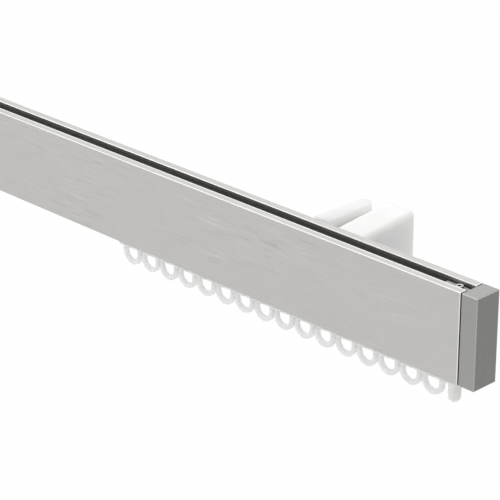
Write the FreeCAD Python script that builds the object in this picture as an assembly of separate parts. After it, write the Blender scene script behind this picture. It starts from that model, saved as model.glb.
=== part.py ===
import FreeCAD, Part
import math
import os
from FreeCAD import Vector

# Curtain track for a wall: a slotted aluminium profile with end caps, end stops and sliding gliders,
# held by two clip brackets with a release lever.
# Frame: X runs along the track, +Y points to the wall, +Z is up. Millimetres.
# The origin is the centre of the wall screws: on the wall, mid-length, mid-height of the profile.

# Profile
track_length = 600.0
section_depth = 12.0
section_height = 36.0
outer_wall = 1.2
inner_web = 1.2
lip_thickness = 1.5
slot_width = 4.9
outer_edge_radius = 0.4
slot_edge_chamfer = 0.3
top_chamber_height = 5.5
glide_chamber_height = 6.0
rear_mouth_height = 6.0
rear_chamber_height = 10.0
rear_chamber_depth = 4.6

# Distance from the wall to the back of the profile
wall_gap = 30.0

# End caps
cap_length = 7.35
cap_edge_chamfer = 0.3
cap_joint_gap = 0.3
tongue_length = 12.3
tongue_thickness = 2.5
tongue_clearance = 0.15
cap_screw_inset = 5.6
cap_screw_diameter = 3.0
cap_screw_socket = 1.5
cap_screw_socket_depth = 1.5
cap_screw_rise = 0.8

# Gliders
glider_count = 16
glider_length = 10.4
glider_gap = 0.33
running_clearance = 0.3
neck_side_clearance = 0.35
head_length = 8.0
head_height = 2.6
neck_length = 6.0
flange_width = 9.0
flange_thickness = 1.5
flange_corner_chamfer = 1.8
eye_drop = 11.0
eye_inset = 0.1
eye_thickness = 1.7
eye_stroke = 1.9
eye_hole_height = 5.0

# End stops
stop_length = 10.0
stop_inset = 0.4
stop_drop = 10.5
stop_lug_width = 5.0
stop_lug_thickness = 3.6
stop_lug_offset = 0.5
stop_lug_chamfer = 0.9
stop_screw_offset = 3.0
stop_screw_diameter = 2.5
stop_screw_socket = 1.3
stop_screw_socket_depth = 1.5

# Bracket body
bracket_inset = 65.8
block_width = 14.4
block_front_drop = 1.6
block_rear_rise = 0.9
block_foot_rise = 1.4
block_edge_radius = 2.4
block_wall = 2.4
block_core_height = 11.0
wall_screw_spacing = 20.0
wall_screw_hole = 4.5
wall_screw_seat = 3.5
hook_clearance = 0.3
hook_lift = 0.1
hook_thickness = 2.4
hook_overlap = 1.5
tongue_split = 0.3

# Release lever
lever_width = 6.7
lever_side_gap = 3.2
lever_web = 3.0
lever_front_gap = 1.0
lever_bar_rear_gap = 2.5
lever_bar_height = 4.5
lever_nose_clearance = 0.2
pivot_from_wall = 12.0
pivot_height = 2.0
pin_diameter = 3.0
pin_clearance = 0.05
pin_in_block = 9.0
boss_diameter = 8.0
boss_end_gap = 0.3

# Thread fit between a grub screw and its hole
thread_clearance = 0.05

# How near two places count as one
match = 1e-6

hexagon_sides = 6

# Places worked out from the sizes above
back_y = -wall_gap
front_y = back_y - section_depth
middle_y = (front_y + back_y) / 2
top_z = section_height / 2
bottom_z = -section_height / 2
right_x = track_length / 2
chamber_width = section_depth - 2 * outer_wall
rear_lip_y = back_y - lip_thickness
rear_chamber_y = rear_lip_y - rear_chamber_depth
bracket_x = right_x - bracket_inset
block_top_front = top_z - block_front_drop
block_top_rear = top_z + block_rear_rise
block_bottom = bottom_z + block_foot_rise


def yz_rectangle(y0, y1, z0, z1):
    corners = [Vector(0, y0, z0), Vector(0, y1, z0), Vector(0, y1, z1), Vector(0, y0, z1)]
    return Part.Face(Part.makePolygon(corners + corners[:1]))


def box(x0, x1, y0, y1, z0, z1):
    return Part.makeBox(x1 - x0, y1 - y0, z1 - z0, Vector(x0, y0, z0))


def edges_along(shape, direction):
    found = []
    for edge in shape.Edges:
        if isinstance(edge.Curve, Part.Line):
            if abs(abs(edge.Curve.Direction.dot(direction)) - 1) < match:
                found.append(edge)
    return found


def eased_plate(x0, x1, y0, y1, z0, z1, chamfer):
    # A plate with its upright edges cut back
    plate = box(x0, x1, y0, y1, z0, z1)
    return plate.makeChamfer(chamfer, edges_along(plate, Vector(0, 0, 1)))


def grub_screw(diameter, length, socket, socket_depth):
    # Stands on its point at the origin, hexagon socket on top
    shank = Part.makeCylinder(diameter / 2, length)
    corner = socket / math.sqrt(3)
    points = []
    for step in range(hexagon_sides + 1):
        angle = math.tau * step / hexagon_sides
        points.append(Vector(corner * math.cos(angle), corner * math.sin(angle), length - socket_depth))
    hexagon = Part.Face(Part.makePolygon(points))
    return shank.cut(hexagon.extrude(Vector(0, 0, socket_depth)))


def track_profile():
    # Outline, then the slots on top, below and behind, then the closed hollow round the rear slot
    outline = yz_rectangle(front_y, back_y, bottom_z, top_z)
    slot_half = slot_width / 2
    chamber_half = chamber_width / 2
    top_floor = top_z - lip_thickness - top_chamber_height
    glide_floor = bottom_z + lip_thickness
    glide_ceiling = glide_floor + glide_chamber_height
    mouth_half = rear_mouth_height / 2
    rear_half = rear_chamber_height / 2
    openings = [
        yz_rectangle(middle_y - chamber_half, middle_y + chamber_half, top_floor, top_z - lip_thickness),
        yz_rectangle(middle_y - slot_half, middle_y + slot_half, top_z - lip_thickness, top_z),
        yz_rectangle(middle_y - chamber_half, middle_y + chamber_half, glide_floor, glide_ceiling),
        yz_rectangle(middle_y - slot_half, middle_y + slot_half, bottom_z, glide_floor),
        yz_rectangle(rear_chamber_y, rear_lip_y, -rear_half, rear_half),
        yz_rectangle(rear_lip_y, back_y, -mouth_half, mouth_half),
    ]
    hollow = yz_rectangle(front_y + outer_wall, back_y - outer_wall, glide_ceiling + inner_web,
                          top_floor - inner_web)
    wall_half = rear_half + inner_web
    slot_wall = yz_rectangle(rear_chamber_y - inner_web, back_y, -wall_half, wall_half)
    section = outline.cut(openings + [hollow.cut(slot_wall)])
    profile = section.extrude(Vector(track_length, 0, 0)).translated(Vector(-right_x, 0, 0))
    corners = [edge for edge in edges_along(profile, Vector(1, 0, 0)) if is_outer_corner(edge)]
    profile = profile.makeFillet(outer_edge_radius, corners)
    slot_edges = [edge for edge in edges_along(profile, Vector(1, 0, 0)) if is_slot_edge(edge)]
    return profile.makeChamfer(slot_edge_chamfer, slot_edges)


def is_outer_corner(edge):
    spot = edge.Vertexes[0].Point
    at_side = min(abs(spot.y - front_y), abs(spot.y - back_y)) < match
    at_end = min(abs(spot.z - top_z), abs(spot.z - bottom_z)) < match
    return at_side and at_end


def is_slot_edge(edge):
    spot = edge.Vertexes[0].Point
    at_face = abs(abs(spot.z) - top_z) < match
    at_slot = abs(abs(spot.y - middle_y) - slot_width / 2) < match
    behind = abs(spot.y - back_y) < match and abs(abs(spot.z) - rear_mouth_height / 2) < match
    return (at_face and at_slot) or behind


def cap_screw_place():
    floor = top_z - lip_thickness - top_chamber_height
    return Vector(right_x - cap_screw_inset, middle_y, floor)


def right_cap():
    start = right_x + cap_joint_gap
    block = box(start, start + cap_length, front_y, back_y, bottom_z, top_z)
    block = block.makeChamfer(cap_edge_chamfer, block.Edges)
    tongue_half = chamber_width / 2 - tongue_clearance
    tongue_top = top_z - lip_thickness - tongue_clearance
    tongue = box(right_x - tongue_length, start + cap_length / 2, middle_y - tongue_half,
                 middle_y + tongue_half, tongue_top - tongue_thickness, tongue_top)
    hole = Part.makeCylinder(cap_screw_diameter / 2 + thread_clearance, top_chamber_height,
                             cap_screw_place())
    return block.fuse(tongue).removeSplitter().cut(hole)


def right_cap_screw():
    length = top_chamber_height - tongue_clearance + cap_screw_rise
    screw = grub_screw(cap_screw_diameter, length, cap_screw_socket, cap_screw_socket_depth)
    return screw.translated(cap_screw_place())


def runner(length, head_span, neck_span, head_top):
    # Head in the channel, neck through the slot and flange below; the track's underside is at height zero
    head_half = chamber_width / 2 - running_clearance
    neck_half = slot_width / 2 - neck_side_clearance
    head_z = lip_thickness + running_clearance
    head = box(-head_span / 2, head_span / 2, -head_half, head_half, head_z, head_top)
    neck = box(-neck_span / 2, neck_span / 2, -neck_half, neck_half, -running_clearance, head_z)
    flange = eased_plate(-length / 2, length / 2, -flange_width / 2, flange_width / 2,
                         -running_clearance - flange_thickness, -running_clearance, flange_corner_chamfer)
    return head.fuse([neck, flange])


def u_plate(width, thickness, top, bottom):
    # Upright plate with a half-round foot, facing Y
    half = width / 2
    centre = bottom + half
    sides = [
        Part.LineSegment(Vector(-half, 0, centre), Vector(-half, 0, top)).toShape(),
        Part.LineSegment(Vector(-half, 0, top), Vector(half, 0, top)).toShape(),
        Part.LineSegment(Vector(half, 0, top), Vector(half, 0, centre)).toShape(),
        Part.Arc(Vector(half, 0, centre), Vector(0, 0, bottom), Vector(-half, 0, centre)).toShape(),
    ]
    plate = Part.Face(Part.Wire(sides)).extrude(Vector(0, thickness, 0))
    return plate.translated(Vector(0, -thickness / 2, 0))


def eased_rims(plate, top, chamfer):
    # Such a plate with the edges round both faces cut back, all but those at its top
    rims = []
    for edge in plate.Edges:
        first, last = (vertex.Point for vertex in edge.Vertexes)
        at_top = max(abs(first.z - top), abs(last.z - top)) < match
        if abs(first.y - last.y) < match and not at_top:
            rims.append(edge)
    return plate.makeChamfer(chamfer, rims)


def glider():
    head_top = lip_thickness + running_clearance + head_height
    body = runner(glider_length, head_length, neck_length, head_top)
    eye_top = -running_clearance - flange_thickness
    hole_bottom = -eye_drop + eye_stroke
    eye_width = glider_length - 2 * eye_inset
    plate = u_plate(eye_width, eye_thickness, eye_top, -eye_drop)
    hole = u_plate(eye_width - 2 * eye_stroke, eye_thickness, hole_bottom + eye_hole_height, hole_bottom)
    return body.fuse(plate.cut(hole)).removeSplitter()


def glider_place(number):
    # Counted from the right end stop
    stack_start = right_x - stop_inset - stop_length
    pitch = glider_length + glider_gap
    return Vector(stack_start - pitch * number + glider_length / 2, middle_y, bottom_z)


def stop_place():
    return Vector(right_x - stop_inset - stop_length / 2, middle_y, bottom_z)


def right_stop():
    head_top = lip_thickness + glide_chamber_height - running_clearance
    body = runner(stop_length, stop_length, stop_length, head_top)
    lug_top = -running_clearance - flange_thickness
    lug = u_plate(stop_lug_width, stop_lug_thickness, lug_top, -stop_drop)
    lug = eased_rims(lug, lug_top, stop_lug_chamfer)
    lug = lug.rotated(Vector(0, 0, 0), Vector(0, 0, 1), 90)
    lug = lug.translated(Vector(-stop_lug_offset, 0, 0))
    bore = Part.makeCylinder(stop_screw_diameter / 2 + thread_clearance, 2 * stop_drop,
                             Vector(stop_screw_offset, 0, -stop_drop))
    return body.fuse(lug).removeSplitter().cut(bore).translated(stop_place())


def right_stop_screw():
    # Driven from below against the ceiling of the channel
    length = running_clearance + flange_thickness + lip_thickness + glide_chamber_height
    screw = grub_screw(stop_screw_diameter, length, stop_screw_socket, stop_screw_socket_depth)
    screw = screw.rotated(Vector(0, 0, length / 2), Vector(1, 0, 0), 180)
    foot = Vector(stop_screw_offset, 0, -running_clearance - flange_thickness)
    return screw.translated(foot + stop_place())


def bracket_body():
    # Side view of the block, its top rising to the wall, carried across its width
    half = block_width / 2
    corners = [Vector(-half, 0, block_top_rear), Vector(-half, 0, block_bottom),
               Vector(-half, back_y, block_bottom), Vector(-half, back_y, block_top_front)]
    side = Part.Face(Part.makePolygon(corners + corners[:1]))
    block = side.extrude(Vector(block_width, 0, 0))
    long_edges = [edge for edge in block.Edges if runs_front_to_back(edge)]
    block = block.makeFillet(block_edge_radius, long_edges)
    core_half = block_core_height / 2
    pocket_half = half - block_wall
    for low, high in ((block_bottom + block_wall, -core_half), (core_half, block_top_front - block_wall)):
        pocket = box(-pocket_half, pocket_half, back_y, -wall_screw_seat, low, high)
        height = math.copysign(wall_screw_spacing / 2, low + high)
        hole = Part.makeCylinder(wall_screw_hole / 2, wall_gap, Vector(0, back_y, height), Vector(0, 1, 0))
        block = block.cut([pocket, hole])
    pin_bore = Part.makeCylinder(pin_diameter / 2 + pin_clearance, pin_in_block,
                                 Vector(-half, -pivot_from_wall, pivot_height), Vector(1, 0, 0))
    return block.fuse(fixed_hook()).removeSplitter().cut(pin_bore)


def runs_front_to_back(edge):
    spots = [vertex.Point for vertex in edge.Vertexes]
    return max(spot.y for spot in spots) - min(spot.y for spot in spots) > wall_gap / 2


def fixed_hook():
    # Passes through the upper half of the rear slot's mouth and turns up behind its upper lip
    half = block_width / 2
    mouth_half = rear_mouth_height / 2
    neck_end = rear_lip_y - hook_clearance
    neck_top = mouth_half - hook_lift
    outline = [Vector(-half, back_y, tongue_split), Vector(-half, neck_end - hook_thickness, tongue_split),
               Vector(-half, neck_end - hook_thickness, mouth_half + hook_overlap),
               Vector(-half, neck_end, mouth_half + hook_overlap), Vector(-half, neck_end, neck_top),
               Vector(-half, back_y, neck_top)]
    return Part.Face(Part.makePolygon(outline + outline[:1])).extrude(Vector(block_width, 0, 0))


def release_lever():
    # Bell crank: nose in the lower half of the mouth, upright web with a boss, thumb bar along the top
    centre_x = -block_width / 2 - lever_side_gap - lever_width / 2
    mouth_half = rear_mouth_height / 2
    neck_end = rear_lip_y - hook_clearance
    front = back_y + lever_front_gap
    nose_top = -tongue_split
    nose_bottom = -mouth_half + lever_nose_clearance
    bar_rear = -lever_bar_rear_gap
    bar_bottom = top_z - lever_bar_height
    pivot_y = -pivot_from_wall
    boss_radius = boss_diameter / 2
    web_x = centre_x - lever_web / 2
    outline = [
        Vector(web_x, neck_end - hook_thickness, nose_top),
        Vector(web_x, neck_end - hook_thickness, -mouth_half - hook_overlap),
        Vector(web_x, neck_end, -mouth_half - hook_overlap),
        Vector(web_x, neck_end, nose_bottom),
        Vector(web_x, front, nose_bottom),
        Vector(web_x, pivot_y, pivot_height - boss_radius),
        Vector(web_x, pivot_y + boss_radius, pivot_height),
        Vector(web_x, pivot_y + boss_radius, bar_bottom),
        Vector(web_x, front + boss_radius, bar_bottom),
        Vector(web_x, front, nose_top),
    ]
    web = Part.Face(Part.makePolygon(outline + outline[:1])).extrude(Vector(lever_web, 0, 0))
    bar = u_plate(lever_width, lever_bar_height, bar_rear - front, 0)
    bar = bar.rotated(Vector(0, 0, 0), Vector(1, 0, 0), 90)
    bar = bar.translated(Vector(centre_x, bar_rear, bar_bottom + lever_bar_height / 2))
    boss_start = centre_x - lever_width / 2
    boss_end = -block_width / 2 - boss_end_gap
    boss = Part.makeCylinder(boss_radius, boss_end - boss_start, Vector(boss_start, pivot_y, pivot_height),
                             Vector(1, 0, 0))
    bore = Part.makeCylinder(pin_diameter / 2 + pin_clearance, 2 * (boss_end - boss_start),
                             Vector(boss_start - lever_width, pivot_y, pivot_height), Vector(1, 0, 0))
    return web.fuse([bar, boss]).removeSplitter().cut(bore)


def lever_pin():
    start = -block_width / 2 - lever_side_gap - lever_width
    end = -block_width / 2 + pin_in_block
    return Part.makeCylinder(pin_diameter / 2, end - start, Vector(start, -pivot_from_wall, pivot_height),
                             Vector(1, 0, 0))


def mirrored(shape):
    return shape.mirror(Vector(0, 0, 0), Vector(1, 0, 0))


def pair(shape):
    return Part.makeCompound([mirrored(shape), shape])


nodes = {"track_profile": track_profile()}
nodes["end_cap_right"] = right_cap()
nodes["end_cap_left"] = mirrored(nodes["end_cap_right"])
nodes["cap_screws"] = pair(right_cap_screw())
nodes["end_stop_right"] = right_stop()
nodes["end_stop_left"] = mirrored(nodes["end_stop_right"])
nodes["stop_screws"] = pair(right_stop_screw())
one_glider = glider()
for number in range(1, glider_count + 1):
    nodes[f"glider_{number:02d}"] = one_glider.translated(glider_place(number))
for side, place in (("left", -bracket_x), ("right", bracket_x)):
    shift = Vector(place, 0, 0)
    nodes["bracket_body_" + side] = bracket_body().translated(shift)
    nodes["release_lever_" + side] = release_lever().translated(shift)
    nodes["lever_pin_" + side] = lever_pin().translated(shift)

os.makedirs("parts", exist_ok=True)
for name, shape in nodes.items():
    shape.exportStep(os.path.join("parts", name + ".step"))
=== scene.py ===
import math

import bpy
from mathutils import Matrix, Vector


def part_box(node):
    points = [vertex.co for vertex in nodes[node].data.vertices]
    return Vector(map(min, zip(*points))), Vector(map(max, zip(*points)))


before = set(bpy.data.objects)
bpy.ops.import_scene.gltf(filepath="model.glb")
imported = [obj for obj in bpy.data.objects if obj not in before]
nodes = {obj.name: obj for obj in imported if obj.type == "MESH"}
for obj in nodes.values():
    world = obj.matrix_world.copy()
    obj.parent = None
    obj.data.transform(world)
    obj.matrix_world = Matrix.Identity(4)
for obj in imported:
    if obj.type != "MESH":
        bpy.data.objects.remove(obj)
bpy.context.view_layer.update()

# Camera, fitted to the photograph's edges
CAMERA_PLACE = (0.768372, -0.606537, 0.355377)
CAMERA_AZIMUTH = 45.3821
CAMERA_ELEVATION = 23.7491
CAMERA_LENS = 167.337

# Studio; the floor's shadow is the share of the real floor that is left in the white
WHITE = (1, 1, 1, 1)
MATT_ROUGHNESS = 0.9
WORLD_LEVEL = 0.68
FLOOR_HEIGHT = -0.35
FLOOR_SIZE = 30.0
FLOOR_COLOUR = (0.86, 0.86, 0.855, 1)
FLOOR_SHADOW = 0.05
CARD_PLACE = (0.47, 0.125, -0.10)
CARD_SIZE = 0.32
CARD_COLOUR = (0.36, 0.36, 0.36, 1)

# Lamps: name, place, target, size and power
LAMPS = (
    ("top_light", (-0.4, 0.3, 1.6), (0, 0, 0), 1.6, 11.5),
    ("front_light", (-1.3, -1.2, 1.0), (0, 0, 0), 1.2, 10),
    ("side_light", (1.6, -0.2, 0.7), (0.2, 0, 0), 1.0, 2),
)

# Linear colours
ALUMINIUM_DARK = (0.510, 0.502, 0.486, 1)
ALUMINIUM_LIGHT = (0.580, 0.572, 0.554, 1)
STROKE_DARK = (0.470, 0.463, 0.448, 1)
STROKE_LIGHT = (0.625, 0.617, 0.600, 1)
CAP_DARK = (0.322, 0.320, 0.309, 1)
CAP_LIGHT = (0.378, 0.375, 0.362, 1)
PLASTIC_DARK = (0.80, 0.80, 0.79, 1)
PLASTIC_LIGHT = (0.86, 0.86, 0.85, 1)
CLIP_DARK = (0.84, 0.84, 0.83, 1)
CLIP_LIGHT = (0.88, 0.88, 0.87, 1)
STEEL_DARK = (0.46, 0.46, 0.455, 1)
STEEL_LIGHT = (0.68, 0.68, 0.67, 1)
# Painted highlight on the profile's chamfers and rounded edges
PAINTED_EDGE_HIGHLIGHT = (0.66, 0.655, 0.64, 1)
# Painted highlight lines along the slot's front lip and at the profile's cut ends
PAINTED_LINE_HIGHLIGHT = (0.80, 0.795, 0.78, 1)
# Painted shade on the walls of the profile's slots and chambers
PAINTED_SLOT_SHADE = (0.33, 0.327, 0.314, 1)
# Painted highlight on the caps' chamfers
PAINTED_CAP_HIGHLIGHT = (0.44, 0.437, 0.426, 1)
JOINT_SHADE = (0.035, 0.035, 0.034, 1)
SOCKET_SHADE = (0.03, 0.03, 0.03, 1)

# Grain, as noise scales per metre along X, Y and Z
BRUSHED_GRAIN = (240, 3200, 3200)
STROKE_GRAIN = (60, 1100, 1100)
PATCH_GRAIN = (13, 50, 50)
SATIN_GRAIN = (1500, 1500, 1500)
STEEL_GRAIN = (900, 900, 6000)
MOTTLE_GRAIN = (14, 40, 40)
FLOW_GRAIN = (120, 120, 120)
MOULD_GRAIN = (4000, 4000, 4000)
RELIEF_DEPTH = 0.00002

# Shares: mottling in a metal's grain, mould texture in a plastic's gloss, light that enters plastic
MOTTLE_SHARE = 0.3
MOULD_SHARE = 0.5
ENTERING_LIGHT = 0.8
LIGHT_REACH_BY_COLOUR = (1.0, 0.95, 0.9)

# Roughness, from the dark to the light of the grain
BRUSHED_ROUGHNESS = (0.32, 0.46)
SATIN_ROUGHNESS = (0.38, 0.5)
STEEL_ROUGHNESS = (0.2, 0.34)
PLASTIC_ROUGHNESS = (0.34, 0.48)

# Ranges: the middle of a noise, and where brush strokes, their patches and broken edges start and are full
NOISE_MIDDLE = (0.3, 0.7)
DARK_STROKE_RANGE = (0.42, 0.28)
LIGHT_STROKE_RANGE = (0.60, 0.74)
PATCH_RANGE = (0.42, 0.62)
ASKEW_RANGE = (0.90, 0.80)

# Depth of the skin on the outside of the profile and on a screw's end, and width of the slot on top
SKIN = 0.0002
SLOT_WIDTH = 0.0049

# Painted highlight lines: reach to both sides of the slot's front lip, and width at the cut ends
LIP_REACH = 0.0009
CUT_WIDTH = 0.0005

# Shade on the cap: width at its joint with the profile, and reach to both sides of the slot's rear lip
JOINT_WIDTH = 0.0006
TONGUE_REACH = 0.001

# A distance past the whole part, and one below which two points are the same
FAR = 1.0
WELD_DISTANCE = 0.000002

# Mix nodes for plain values and for colours: type, first input, second input and result
VALUE_MIX = ("FLOAT", 2, 3, 0)
COLOUR_MIX = ("RGBA", 6, 7, 2)


def new_material(name):
    material = bpy.data.materials.new(name)
    material.use_nodes = True
    return material, material.node_tree, material.node_tree.nodes["Principled BSDF"]


def feed(tree, entry, value):
    """Links another node's result to an input, or sets the input to a number or a colour."""
    if isinstance(value, bpy.types.NodeSocket):
        tree.links.new(value, entry)
    else:
        entry.default_value = value


def noise(tree, grain, detail):
    """A noise in the piece's own coordinates, stretched by a scale per metre on each axis."""
    place = tree.nodes.new("ShaderNodeTexCoord")
    stretch = tree.nodes.new("ShaderNodeMapping")
    stretch.inputs["Scale"].default_value = grain
    texture = tree.nodes.new("ShaderNodeTexNoise")
    texture.inputs["Scale"].default_value = 1
    texture.inputs["Detail"].default_value = detail
    tree.links.new(place.outputs["Object"], stretch.inputs["Vector"])
    tree.links.new(stretch.outputs["Vector"], texture.inputs["Vector"])
    return texture.outputs["Fac"]


def remap(tree, value, source, target=(0, 1)):
    """One range of values, rising or falling, mapped to another and held at its ends."""
    change = tree.nodes.new("ShaderNodeMapRange")
    for entry, end in zip(("From Min", "From Max", "To Min", "To Max"), source + target):
        change.inputs[entry].default_value = end
    tree.links.new(value, change.inputs["Value"])
    return change.outputs["Result"]


def mixed(tree, kind, share, first, second):
    """The first value or colour with a share of the second."""
    data_type, first_entry, second_entry, result = kind
    mix = tree.nodes.new("ShaderNodeMix")
    mix.data_type = data_type
    feed(tree, mix.inputs[0], share)
    feed(tree, mix.inputs[first_entry], first)
    feed(tree, mix.inputs[second_entry], second)
    return mix.outputs[result]


def calc(tree, operation, *values):
    """One step of arithmetic on numbers or on other nodes' results."""
    step = tree.nodes.new("ShaderNodeMath")
    step.operation = operation
    for entry, value in zip(step.inputs, values):
        feed(tree, entry, value)
    return step.outputs[0]


def along_axes(tree, kind):
    """X, Y and Z of the piece's own coordinates, Object, or of its surface's direction, Normal."""
    place = tree.nodes.new("ShaderNodeTexCoord")
    parts = tree.nodes.new("ShaderNodeSeparateXYZ")
    tree.links.new(place.outputs[kind], parts.inputs[0])
    return parts.outputs


def tint(tree, shader, field, dark, light):
    colour = mixed(tree, COLOUR_MIX, remap(tree, field, NOISE_MIDDLE), dark, light)
    tree.links.new(colour, shader.inputs["Base Color"])


def gloss(tree, shader, field, roughness):
    tree.links.new(remap(tree, field, NOISE_MIDDLE, roughness), shader.inputs["Roughness"])


def relief(tree, shader, field, strength):
    bump = tree.nodes.new("ShaderNodeBump")
    bump.inputs["Strength"].default_value = strength
    bump.inputs["Distance"].default_value = RELIEF_DEPTH
    tree.links.new(field, bump.inputs["Height"])
    tree.links.new(bump.outputs["Normal"], shader.inputs["Normal"])


def overlay(material, mask, colour):
    """Lays a colour over a material's base colour where the mask is 1."""
    tree = material.node_tree
    entry = tree.nodes["Principled BSDF"].inputs["Base Color"]
    base = entry.links[0].from_socket
    tree.links.new(mixed(tree, COLOUR_MIX, mask, base, colour), entry)


def broken_edge(tree):
    """1 on faces askew to the piece's axes, its chamfers and rounded corners, and 0 on its flats."""
    across, along, upright = [calc(tree, "ABSOLUTE", part) for part in along_axes(tree, "Normal")]
    largest = calc(tree, "MAXIMUM", calc(tree, "MAXIMUM", across, along), upright)
    return remap(tree, largest, ASKEW_RANGE)


def between(tree, axis, middle, low, high):
    """1 where the distance from a middle along one axis lies between two values, and 0 elsewhere."""
    offset = calc(tree, "ABSOLUTE", calc(tree, "SUBTRACT", along_axes(tree, "Object")[axis], middle))
    above = calc(tree, "GREATER_THAN", offset, low)
    below = calc(tree, "LESS_THAN", offset, high)
    return calc(tree, "MULTIPLY", above, below)


# Middle and half size of the profile
lowest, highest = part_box("track_profile")
profile_middle = [(low + high) / 2 for low, high in zip(lowest, highest)]
profile_half = [(high - low) / 2 for low, high in zip(lowest, highest)]


def profile_span(tree, axis, low, high):
    index = "XYZ".index(axis)
    return between(tree, axis, profile_middle[index], low, high)


def inside_profile(tree):
    """1 on the walls of the slots and chambers, and 0 on the outside of the profile."""
    across = profile_span(tree, "Y", -FAR, profile_half[1] - SKIN)
    upright = profile_span(tree, "Z", -FAR, profile_half[2] - SKIN)
    return calc(tree, "MULTIPLY", across, upright)


def slot_lip(tree):
    """1 on a narrow line along the front lip of the top slot."""
    across = between(tree, "Y", profile_middle[1] - SLOT_WIDTH / 2, -FAR, LIP_REACH)
    outside = profile_span(tree, "Z", profile_half[2] - SKIN, FAR)
    return calc(tree, "MULTIPLY", across, outside)


def cut_ends(tree):
    """1 on a narrow line at both ends of the profile."""
    return profile_span(tree, "X", profile_half[0] - CUT_WIDTH, FAR)


def cap_joint(tree):
    """1 on a narrow line of a cap, next to the end of the profile."""
    return profile_span(tree, "X", profile_half[0], profile_half[0] + JOINT_WIDTH)


def tongue_edge(tree):
    """1 along the rear of a cap's tongue, where it goes under the lip of the top slot."""
    across = between(tree, "Y", profile_middle[1] + SLOT_WIDTH / 2, -FAR, TONGUE_REACH)
    inside = profile_span(tree, "X", -FAR, profile_half[0])
    return calc(tree, "MULTIPLY", across, inside)


def metal(name, dark, light, grain, roughness, metallic, strength):
    """Metal with a grain: fine lines over slow mottling, in colour, gloss and relief."""
    material, tree, shader = new_material(name)
    lines = noise(tree, grain, detail=4)
    mottle = noise(tree, MOTTLE_GRAIN, detail=3)
    field = mixed(tree, VALUE_MIX, MOTTLE_SHARE, lines, mottle)
    tint(tree, shader, field, dark, light)
    gloss(tree, shader, field, roughness)
    relief(tree, shader, lines, strength)
    shader.inputs["Metallic"].default_value = metallic
    return material


def brushed_aluminium():
    """Brushed metal with longer strokes in patches, painted highlights on its edges, along the slot's front
    lip and at its cut ends, and painted shade in its slots.
    """
    material = metal("brushed_aluminium", ALUMINIUM_DARK, ALUMINIUM_LIGHT, BRUSHED_GRAIN, BRUSHED_ROUGHNESS,
                     metallic=0.8, strength=0.25)
    tree = material.node_tree
    strokes = noise(tree, STROKE_GRAIN, detail=2)
    patches = remap(tree, noise(tree, PATCH_GRAIN, detail=1), PATCH_RANGE)
    for stroke_range, colour in ((DARK_STROKE_RANGE, STROKE_DARK), (LIGHT_STROKE_RANGE, STROKE_LIGHT)):
        overlay(material, calc(tree, "MULTIPLY", remap(tree, strokes, stroke_range), patches), colour)
    # Painted highlight on the profile's chamfers and rounded edges
    overlay(material, broken_edge(tree), PAINTED_EDGE_HIGHLIGHT)
    # Painted highlight lines along the slot's front lip and at the cut ends
    overlay(material, slot_lip(tree), PAINTED_LINE_HIGHLIGHT)
    overlay(material, cut_ends(tree), PAINTED_LINE_HIGHLIGHT)
    # Painted shade on the walls of the slots and chambers
    overlay(material, inside_profile(tree), PAINTED_SLOT_SHADE)
    return material


def satin_cap():
    """Satin metal of the caps, with a painted highlight at its edges and painted shade at its joint with
    the profile and under the slot's rear lip.
    """
    material = metal("satin_cap", CAP_DARK, CAP_LIGHT, SATIN_GRAIN, SATIN_ROUGHNESS,
                     metallic=0.6, strength=0.1)
    tree = material.node_tree
    # Painted highlight on the cap's chamfers
    overlay(material, broken_edge(tree), PAINTED_CAP_HIGHLIGHT)
    overlay(material, cap_joint(tree), JOINT_SHADE)
    overlay(material, tongue_edge(tree), JOINT_SHADE)
    return material


def steel(name):
    return metal(name, STEEL_DARK, STEEL_LIGHT, STEEL_GRAIN, STEEL_ROUGHNESS, metallic=1.0, strength=0.15)


def screw_steel():
    """Steel of the caps' screws, dark below their upper ends."""
    material = steel("screw_steel")
    screw_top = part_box("cap_screws")[1][2]
    overlay(material, between(material.node_tree, "Z", screw_top, SKIN, FAR), SOCKET_SHADE)
    return material


def plastic(name, dark, light, reach):
    """Moulded plastic: a faint flow pattern, an uneven gloss, a fine texture, light within its reach."""
    material, tree, shader = new_material(name)
    flow = noise(tree, FLOW_GRAIN, detail=3)
    mould = noise(tree, MOULD_GRAIN, detail=2)
    tint(tree, shader, flow, dark, light)
    gloss(tree, shader, mixed(tree, VALUE_MIX, MOULD_SHARE, flow, mould), PLASTIC_ROUGHNESS)
    relief(tree, shader, mould, strength=0.12)
    shader.inputs["Subsurface Weight"].default_value = ENTERING_LIGHT
    shader.inputs["Subsurface Scale"].default_value = reach
    shader.inputs["Subsurface Radius"].default_value = LIGHT_REACH_BY_COLOUR
    return material


def soften(piece, width, segments, least_angle=35):
    """Takes the knife edge off a piece: joins its faces and rounds edges that turn by an angle or more."""
    weld = piece.modifiers.new("join", "WELD")
    weld.merge_threshold = WELD_DISTANCE
    edge = piece.modifiers.new("edge", "BEVEL")
    edge.width = width
    edge.segments = segments
    edge.limit_method = "ANGLE"
    edge.angle_limit = math.radians(least_angle)
    # A single narrow ledge would hold back the rounding of the whole piece
    edge.use_clamp_overlap = False
    edge.loop_slide = False
    smooth = piece.modifiers.new("smooth", "WEIGHTED_NORMAL")
    smooth.keep_sharp = False


plain_steel = steel("steel")
white = plastic("white_plastic", PLASTIC_DARK, PLASTIC_LIGHT, reach=0.0035)
milky = plastic("milky_plastic", PLASTIC_DARK, PLASTIC_LIGHT, reach=0.007)
clip_white = plastic("clip_plastic", CLIP_DARK, CLIP_LIGHT, reach=0.004)
clip_milky = plastic("lever_plastic", CLIP_DARK, CLIP_LIGHT, reach=0.03)

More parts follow.
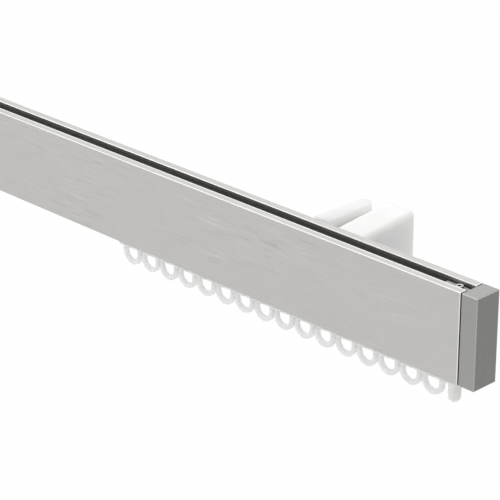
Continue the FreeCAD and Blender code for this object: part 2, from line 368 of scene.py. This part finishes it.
# Start of a piece's name, its material, its slot, and the width, segments and least angle of its rounding
FINISHES = (
    ("track_profile", brushed_aluminium(), "brushed_aluminium", None),
    ("end_cap", satin_cap(), "satin_cap", None),
    ("cap_screws", screw_steel(), "steel", (0.00015, 2)),
    ("stop_screws", plain_steel, "steel", (0.00012, 2)),
    ("lever_pin", plain_steel, "steel", (0.0002, 2)),
    ("glider", milky, "white_plastic", (0.00025, 3)),
    ("end_stop", white, "white_plastic", (0.0002, 3, 50)),
    ("bracket_body", clip_white, "white_plastic", (0.0006, 3)),
    ("release_lever", clip_milky, "white_plastic", (0.00015, 3)),
)
for name, piece in nodes.items():
    for start, material, slot_name, rounding in FINISHES:
        if name.startswith(start):
            piece.data.materials.clear()
            piece.data.materials.append(material)
            if rounding:
                soften(piece, *rounding)


def seen_white(tree, surface, share, output, glow_type):
    """Camera, glossy and transmission rays see plain white, with a share of the real surface left in it."""
    rays = tree.nodes.new("ShaderNodeLightPath")
    seen = rays.outputs["Is Camera Ray"]
    for ray in ("Is Glossy Ray", "Is Transmission Ray"):
        seen = calc(tree, "MAXIMUM", seen, rays.outputs[ray])
    glow = tree.nodes.new(glow_type)
    glow.inputs["Color"].default_value = WHITE
    glow.inputs["Strength"].default_value = 1
    mix = tree.nodes.new("ShaderNodeMixShader")
    parts = (calc(tree, "MULTIPLY", seen, 1 - share), surface, glow.outputs[0])
    for entry, part in zip(mix.inputs, parts):
        tree.links.new(part, entry)
    tree.links.new(mix.outputs[0], output.inputs["Surface"])


def matt_sheet(name, size, place, turn, colour):
    """A flat sheet of one matt colour, with its nodes."""
    bpy.ops.mesh.primitive_plane_add(size=size, location=place, rotation=turn)
    sheet = bpy.context.object
    sheet.name = name
    material, tree, shader = new_material(name)
    shader.inputs["Base Color"].default_value = colour
    shader.inputs["Roughness"].default_value = MATT_ROUGHNESS
    sheet.data.materials.append(material)
    return sheet, tree, shader


def aimed(place, target, axis):
    """The turn that points an axis of something at a place towards a target."""
    return (Vector(target) - Vector(place)).to_track_quat(axis, "Y").to_euler()


def lamp(name, place, target, size, power):
    light = bpy.data.lights.new(name, "AREA")
    light.shape = "SQUARE"
    light.size = size
    light.energy = power
    holder = bpy.data.objects.new(name, light)
    holder.location = place
    holder.rotation_euler = aimed(place, target, "-Z")
    bpy.context.scene.collection.objects.link(holder)


# World: soft light all round, plain white to look at
world = bpy.data.worlds.new("studio")
bpy.context.scene.world = world
world.use_nodes = True
ambient = world.node_tree.nodes["Background"]
ambient.inputs["Color"].default_value = WHITE
ambient.inputs["Strength"].default_value = WORLD_LEVEL
seen_white(world.node_tree, ambient.outputs[0], 0, world.node_tree.nodes["World Output"],
           "ShaderNodeBackground")

# Floor, well below the track
floor, floor_tree, floor_shader = matt_sheet("floor", FLOOR_SIZE, (0, 0, FLOOR_HEIGHT), (0, 0, 0),
                                             FLOOR_COLOUR)
seen_white(floor_tree, floor_shader.outputs[0], FLOOR_SHADOW, floor_tree.nodes["Material Output"],
           "ShaderNodeEmission")

for lamp_settings in LAMPS:
    lamp(*lamp_settings)

# Grey card to the right, seen only in the metal
card_turn = aimed(CARD_PLACE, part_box("end_cap_right")[0], "Z")
card = matt_sheet("side_card", CARD_SIZE, CARD_PLACE, card_turn, CARD_COLOUR)[0]
card.visible_camera = False
card.visible_diffuse = False
card.visible_transmission = False
card.visible_shadow = False

camera_data = bpy.data.cameras.new("camera")
camera_data.lens = CAMERA_LENS
camera = bpy.data.objects.new("camera", camera_data)
camera.location = CAMERA_PLACE
camera.rotation_euler = (math.radians(90 - CAMERA_ELEVATION), 0, math.radians(CAMERA_AZIMUTH))
bpy.context.scene.collection.objects.link(camera)
bpy.context.scene.camera = camera
bpy.context.scene.view_settings.view_transform = "Standard"
